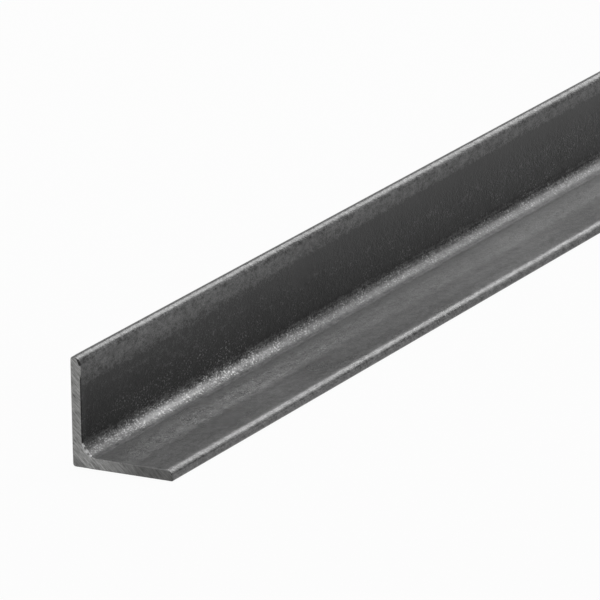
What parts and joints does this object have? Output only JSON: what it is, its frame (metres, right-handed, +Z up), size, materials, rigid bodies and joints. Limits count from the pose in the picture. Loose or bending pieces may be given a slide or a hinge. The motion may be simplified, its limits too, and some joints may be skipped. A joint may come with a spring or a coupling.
{
  "type": "steel angle section",
  "caption": "Equal-leg hot-rolled steel angle cut to a stock length, with square sawn ends, a rounded inner root and rounded toes, and no holes.",
  "frame": {"origin": "on the floor under the flat leg, in the middle of that leg's width and of the bar's length", "axes": "+X from the heel towards the flat leg's toe, +Y along the bar, +Z up along the upright leg, which stands at the -X side"},
  "size_m": [0.04, 1, 0.04],
  "materials": {
    "mill_scale_steel": "hot-rolled mild steel with dark grey mill scale, sawn ends of bare grey steel"
  },
  "bodies": {
    "root": {"angle_bar": "mill_scale_steel"}
  },
  "joints": []
}
